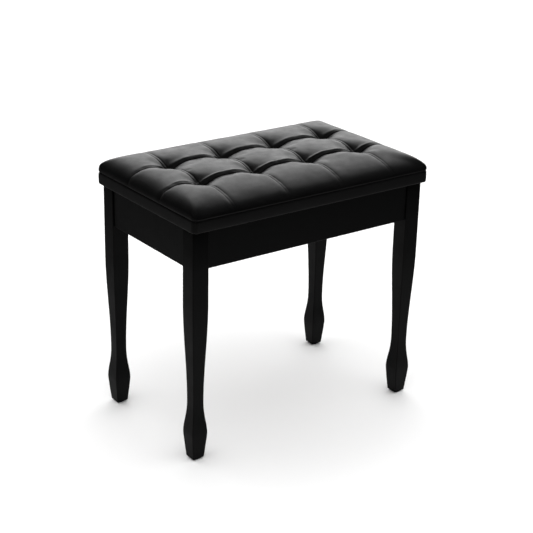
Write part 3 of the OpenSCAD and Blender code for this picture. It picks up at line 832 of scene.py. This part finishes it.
def thicken(piece, thickness):
    """Gives an open sheet its thickness, on the side away from its normals."""
    solid = piece.modifiers.new("thickness", "SOLIDIFY")
    solid.thickness = thickness
    solid.offset = -1
    apply_modifier(piece, solid)


HINGE_SPREAD = 150 * MM
HINGE_XS = [(hinge_low.x + hinge_high.x) / 2 + side * HINGE_SPREAD for side in (-1, 1)]
GROOVE_HALF = 26.5 * MM
CORNER_STEPS = 26
BAND_SPACING = 5 * MM
BAND_THICKNESS = 0.7 * MM
# Where the cover lies under the board, in from the seat's edge
FOLD_INSETS = [inset * MM for inset in (5, 8.7, 14.3, 20, 28)]


def outline(spacing):
    """Points round the seat's edge: (place, outward direction, distance from a corner's middle)."""
    places = []
    cx, cy = HALF_X - CORNER_R, HALF_Y - CORNER_R
    corners = [(cx, -cy, -90), (cx, cy, 0), (-cx, cy, 90), (-cx, -cy, 180)]
    cuts = [side + edge for side in HINGE_XS for edge in (-GROOVE_HALF, GROOVE_HALF)]
    for index, (ax, ay, start) in enumerate(corners):
        for step in range(CORNER_STEPS + 1):
            turn = math.radians(start + 90 * step / CORNER_STEPS)
            out = Vector((math.cos(turn), math.sin(turn), 0))
            from_seam = CORNER_R * math.radians(abs(90 * step / CORNER_STEPS - 45))
            places.append((Vector((ax, ay, 0)) + out * CORNER_R, out, from_seam))
        bx, by, _ = corners[(index + 1) % 4]
        out = places[-1][1]
        begin = places[-1][0]
        end = Vector((bx, by, 0)) + out * CORNER_R
        if abs(out.y) > 0.5:
            stops = sorted([begin.x, end.x] + cuts, reverse=begin.x > end.x)
        else:
            stops = [begin.y, end.y]
        line = []
        for low, high in zip(stops, stops[1:]):
            count = max(2, round(abs(high - low) / spacing))
            line += [mix(low, high, i / count) for i in range(1, count + 1)]
        for value in line[:-1]:
            along_x = Vector((value, begin.y, 0))
            along_y = Vector((begin.x, value, 0))
            places.append((along_x if abs(out.y) > 0.5 else along_y, out.copy(), 1.0))
    return places


def build_cover_band():
    """The plain strip round the lid, rounded over its lower edge and folded under the board."""
    edge = 3.0 * MM
    radius = 2.6 * MM
    profile = [(-2.2 * MM, SEAM_Z + 0.2 * MM), (-1.2 * MM, SEAM_Z - 0.2 * MM)]
    profile.append((-0.5 * MM, SEAM_Z - 0.9 * MM))
    for i in range(9):
        t = i / 8
        bulge = 0.4 * MM * math.sin(math.pi * mix(0.0, 0.9, t))
        profile.append((bulge, mix(SEAM_Z - 1.8 * MM, LID_Z + edge, t)))
    start = profile[-1][0]
    for i in range(1, 7):
        turn = math.radians(90 * i / 6)
        profile.append((start - radius * (1 - math.cos(turn)), LID_Z + edge * (1 - math.sin(turn))))
    upright = len(profile)
    profile += [(-inset, LID_Z) for inset in FOLD_INSETS]
    base = outline(BAND_SPACING)
    points = []
    for ring, (offset, z) in enumerate(profile):
        for place, out, from_seam in base:
            seam = 0.8 * MM * math.exp(-(from_seam / (0.9 * MM)) ** 2)
            wave = 0.25 * MM * noise.noise(Vector((place.x, place.y, z * 2)) * 26)
            if ring < upright:
                p = place + out * (offset + wave - seam)
                points.append((p.x, p.y, z))
            else:
                x = max(-HALF_X - offset, min(HALF_X + offset, place.x))
                y = max(-HALF_Y - offset, min(HALF_Y + offset, place.y))
                points.append((x, y, z))
    count = len(base)
    faces = []
    for i in range(len(profile) - 1):
        for j in range(count):
            middle = (base[j][0] + base[(j + 1) % count][0]) / 2
            beside = min(abs(middle.x - x) for x in HINGE_XS)
            groove = i == upright + 1 and middle.y > 0 and beside < GROOVE_HALF
            if not groove:
                faces.append(ring_face(i, j, count))
    piece = make_piece("cover_band_strip", points, faces)
    thicken(piece, BAND_THICKNESS)
    paint(piece, LOOKS["black_leather"])
    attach(piece, "lid")
    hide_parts("cover_band")


HINGE_CUT_HALF = 27 * MM
CLOTH_CELL = 6 * MM
CLOTH_THICKNESS = 0.35 * MM


def build_dust_cover():
    """The cloth under the lid, cut out round the hinges and the stay's bracket."""
    half_x, half_y = dust_high.x, dust_high.y
    leaf_edge = hinge_low.y - 2 * MM
    flange_low, flange_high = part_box("stay_bracket")
    holes = [(x - HINGE_CUT_HALF, x + HINGE_CUT_HALF, leaf_edge, half_y) for x in HINGE_XS]
    gap = 1 * MM
    holes.append((flange_low.x - gap, flange_high.x + gap, flange_low.y - gap, flange_high.y + gap))
    x_stops = sorted([-half_x, half_x] + [h[k] for h in holes for k in (0, 1)])
    y_stops = sorted(set([-half_y, half_y] + [h[k] for h in holes for k in (2, 3)]))
    xs = split_even(x_stops, CLOTH_CELL)
    ys = split_even(y_stops, CLOTH_CELL)
    x, y = np.meshgrid(xs, ys, indexing="ij")
    slack = clamp01(1 - np.abs(x) / (200 * MM)) * clamp01(1 - np.abs(y) / (110 * MM))
    z = dust_low.z - slack * (1.2 * MM + 0.6 * MM * noise_field(x, y, 30, FOLD_SEED + 5))
    faces = []
    for face in grid_faces(len(xs), len(ys)):
        middle_x = x.ravel()[list(face)].mean()
        middle_y = y.ravel()[list(face)].mean()
        inside = [h[0] < middle_x < h[1] and h[2] < middle_y < h[3] for h in holes]
        if not any(inside):
            faces.append(face)
    piece = make_piece("dust_cloth", np.stack([x, y, z], axis=2).reshape(-1, 3), faces)
    piece.data.flip_normals()
    thicken(piece, CLOTH_THICKNESS)
    paint(piece, LOOKS["cambric"])
    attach(piece, "lid")
    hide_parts("dust_cover")


def split_even(stops, spacing):
    """All the stops, and even steps between them."""
    marks = [stops[0]]
    for low, high in zip(stops, stops[1:]):
        count = max(1, round((high - low) / spacing))
        marks += [mix(low, high, i / count) for i in range(1, count + 1)]
    return np.array(marks)


# ------------------------------------------------------------------ studio

FLOOR_HALF = 30.0


def build_floor():
    """A large pale floor, which isn't part of the object."""
    turns = ((-1, -1), (1, -1), (1, 1), (-1, 1))
    piece = make_piece("floor", [(x * FLOOR_HALF, y * FLOOR_HALF, 0) for x, y in turns], [(0, 1, 2, 3)])
    paint(piece, floor_look())


CAMERA_AZIMUTH = math.radians(-36.625)
CAMERA_ELEVATION = math.radians(22.01)
CAMERA_ROLL = 0.0237
CAMERA_DISTANCE = 2.5794
CAMERA_LENS = 93.11
CAMERA_TARGET = Vector((0.01025, 0.0, 0.26643))


def direction(azimuth, elevation):
    """Unit vector towards an azimuth and elevation in radians; azimuth 0 is the front, -Y."""
    level = math.cos(elevation)
    return Vector((math.sin(azimuth) * level, -math.cos(azimuth) * level, math.sin(elevation)))


def build_camera():
    """The camera, aimed at a point inside the bench, with a slight roll."""
    back = direction(CAMERA_AZIMUTH, CAMERA_ELEVATION)
    right = Vector((0, 0, 1)).cross(back).normalized()
    up = back.cross(right)
    c, s = math.cos(CAMERA_ROLL), math.sin(CAMERA_ROLL)
    rolled_right = c * right + s * up
    rolled_up = c * up - s * right
    data = bpy.data.cameras.new("camera")
    data.lens = CAMERA_LENS
    data.sensor_width = 36
    camera = bpy.data.objects.new("camera", data)
    bpy.context.scene.collection.objects.link(camera)
    turn = Matrix((rolled_right, rolled_up, back)).transposed().to_4x4()
    camera.matrix_world = Matrix.Translation(CAMERA_TARGET + back * CAMERA_DISTANCE) @ turn
    bpy.context.scene.camera = camera


def area_light(name, azimuth, elevation, distance, size, power):
    """A soft box aimed at the seat, from an azimuth and elevation in degrees."""
    back = direction(math.radians(azimuth), math.radians(elevation))
    data = bpy.data.lights.new(name, "AREA")
    data.shape = "RECTANGLE"
    data.size, data.size_y = size
    data.energy = power
    light = bpy.data.objects.new(name, data)
    light.location = Vector((0, 0, 0.45)) + back * distance
    light.rotation_mode = "QUATERNION"
    light.rotation_quaternion = back.to_track_quat("Z", "Y")
    light.visible_camera = False
    bpy.context.scene.collection.objects.link(light)


def overhead_sun(strength):
    """Even soft light from above, which doesn't show in reflections."""
    data = bpy.data.lights.new("overhead", "SUN")
    data.energy = strength
    data.angle = math.radians(100)
    light = bpy.data.objects.new("overhead", data)
    light.visible_glossy = False
    bpy.context.scene.collection.objects.link(light)


def build_world():
    """White all round for the camera, and a bright back and a dim front for the lighting."""
    world = bpy.data.worlds.new("studio")
    world.use_nodes = True
    tree = world.node_tree
    background = tree.nodes["Background"]
    output = tree.nodes["World Output"]
    seen = tree.nodes.new("ShaderNodeBackground")
    seen.inputs["Color"].default_value = (1, 1, 1, 1)
    seen.inputs["Strength"].default_value = 1.0
    place = tree.nodes.new("ShaderNodeTexCoord").outputs["Generated"]
    dot = tree.nodes.new("ShaderNodeVectorMath")
    dot.operation = "DOT_PRODUCT"
    a = CAMERA_AZIMUTH
    dot.inputs[1].default_value = (-math.sin(a), math.cos(a), 0.0)
    tree.links.new(place, dot.inputs[0])
    ramp = tree.nodes.new("ShaderNodeMapRange")
    ramp.interpolation_type = "SMOOTHSTEP"
    ramp.inputs["From Min"].default_value = 0.66
    ramp.inputs["From Max"].default_value = 0.96
    ramp.inputs["To Min"].default_value = 0.01
    ramp.inputs["To Max"].default_value = 1.75
    tree.links.new(dot.outputs["Value"], ramp.inputs["Value"])
    tree.links.new(ramp.outputs[0], background.inputs["Strength"])
    background.inputs["Color"].default_value = (1, 1, 1, 1)
    path = tree.nodes.new("ShaderNodeLightPath")
    chosen = tree.nodes.new("ShaderNodeMixShader")
    tree.links.new(path.outputs["Is Camera Ray"], chosen.inputs[0])
    tree.links.new(background.outputs[0], chosen.inputs[1])
    tree.links.new(seen.outputs[0], chosen.inputs[2])
    tree.links.new(chosen.outputs[0], output.inputs["Surface"])
    bpy.context.scene.world = world


# ------------------------------------------------------------------ assembly

build_camera()
build_world()
build_floor()
area_light("back_box", 143.2, 44, 2.4, (2.0, 0.6), 5)
overhead_sun(3.9)
bpy.context.scene.view_settings.view_transform = "Standard"

for side_y, sy in (("front", -1), ("back", 1)):
    for side_x, sx in (("left", -1), ("right", 1)):
        build_leg("leg_" + side_y + "_" + side_x, sx, sy)
build_aprons()
paint_cad_nodes()
build_cover_top()
build_foam()
build_cover_band()
build_dust_cover()
